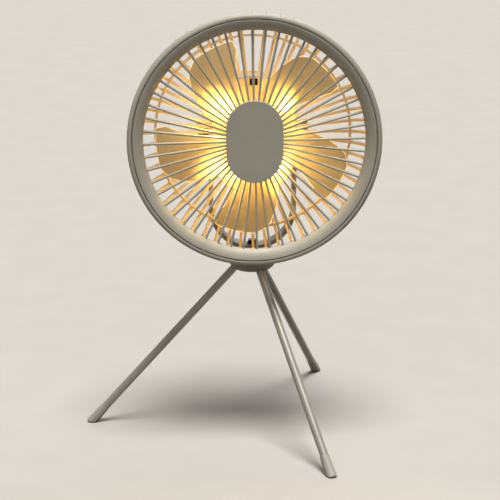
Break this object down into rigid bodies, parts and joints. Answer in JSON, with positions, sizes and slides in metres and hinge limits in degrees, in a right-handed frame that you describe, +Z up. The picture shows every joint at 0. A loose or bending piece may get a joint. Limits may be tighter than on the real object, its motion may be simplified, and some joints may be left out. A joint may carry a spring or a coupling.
{
  "type": "portable camping fan",
  "caption": "Round tabletop fan with straight ribs and warm lamps, tilting in a U yoke on a folding tripod.",
  "frame": {"origin": "on the floor, under the middle of the whole object with its legs open", "axes": "+Z up through the hub, the head faces -Y, +X to the right of someone looking at its face"},
  "size_m": [0.253, 0.2654, 0.3707],
  "materials": {
    "shell_plastic": "satin warm greige moulding",
    "fitting_plastic": "satin moulding",
    "yoke_metal": "powder coated strap in the shell colour",
    "blade_plastic": "translucent milky",
    "leg_metal": "satin coated rod",
    "foot_plastic": "satin",
    "sole_rubber": "matt",
    "lamp_lens": "diffusing lens, lit",
    "status_lens": "clear light pipe",
    "dark_window": "dark infrared window",
    "button_plastic": "soft satin",
    "screw_steel": "blackened",
    "axle_steel": "ground",
    "motor_steel": "plated",
    "motor_magnet": "dull",
    "motor_copper": "enamelled copper wire",
    "motor_alloy": "cast",
    "board_green": "solder mask",
    "switch_metal": "dome switch",
    "cell_wrap": "shrink wrapped cell",
    "cradle_plastic": "black moulding"
  },
  "bodies": {
    "head": {"front_grille": "shell_plastic", "centre_plate": "shell_plastic", "rear_grille": "shell_plastic", "grille_lock_screw": "screw_steel", "pod_front_shell": "shell_plastic", "pod_rear_cover": "shell_plastic", "pod_cover_screws": "screw_steel", "circuit_board": "board_green", "button_switches": "switch_metal", "status_lights": "status_lens", "charge_socket": "axle_steel", "battery_cells": "cell_wrap", "battery_cradle": "cradle_plastic", "light_lenses": "lamp_lens", "light_board": "board_green", "remote_window": "dark_window", "motor_mount": "motor_alloy", "motor_bearings": "axle_steel", "motor_stator": "motor_steel", "motor_coils": "motor_copper", "pivot_screws": "axle_steel", "pivot_knobs": "fitting_plastic", "pivot_washers": "fitting_plastic"},
    "fan": {"fan_wheel": "blade_plastic", "wheel_nut": "blade_plastic", "motor_shaft": "axle_steel", "rotor_can": "motor_steel", "rotor_magnets": "motor_magnet"},
    "fan_button": {"fan_button": "button_plastic"},
    "light_button": {"light_button": "button_plastic"},
    "yoke": {"yoke": "yoke_metal"},
    "hub": {"hub_body": "fitting_plastic", "leg_pins": "axle_steel", "swivel_screw": "screw_steel", "swivel_washer": "screw_steel"},
    "rear_leg": {"rear_leg": "leg_metal", "rear_foot_cap": "foot_plastic", "rear_foot_sole": "sole_rubber"},
    "side_leg": {"side_leg": "leg_metal", "side_foot_cap": "foot_plastic", "side_foot_sole": "sole_rubber"},
    "front_leg": {"front_leg": "leg_metal", "front_foot_cap": "foot_plastic", "front_foot_sole": "sole_rubber"}
  },
  "joints": [
    {"name": "hub_swivel", "type": "hinge", "parent": "hub", "child": "yoke", "pos_m": [0.02126, 0.00167, 0.158], "axis": [0, 0, 1], "continuous": true},
    {"name": "head_tilt", "type": "hinge", "parent": "yoke", "child": "head", "pos_m": [0.02126, 0.00167, 0.2655], "axis": [-1, 0, 0], "range_deg": [0, 180]},
    {"name": "fan_spin", "type": "hinge", "parent": "head", "child": "fan", "pos_m": [0.02126, -0.03633, 0.2655], "axis": [0, -1, 0], "continuous": true},
    {"name": "fan_button_press", "type": "slide", "parent": "head", "child": "fan_button", "axis": [0, -1, 0], "range_m": [0, 0.0008], "stiffness_N_per_m": 1200, "springref_m": -0.0006},
    {"name": "light_button_press", "type": "slide", "parent": "head", "child": "light_button", "axis": [0, -1, 0], "range_m": [0, 0.0008], "stiffness_N_per_m": 1200, "springref_m": -0.0006},
    {"name": "rear_leg_fold", "type": "hinge", "parent": "hub", "child": "rear_leg", "pos_m": [0.02717, 0.01279, 0.146], "axis": [-0.8829, 0.4695, 0], "range_deg": [0, 41.9]},
    {"name": "side_leg_fold", "type": "hinge", "parent": "hub", "child": "side_leg", "pos_m": [0.00866, 0.00167, 0.146], "axis": [0, -1, 0], "range_deg": [0, 41.9]},
    {"name": "front_leg_fold", "type": "hinge", "parent": "hub", "child": "front_leg", "pos_m": [0.02658, -0.00975, 0.146], "axis": [0.9063, 0.4226, 0], "range_deg": [0, 41.9]}
  ]
}
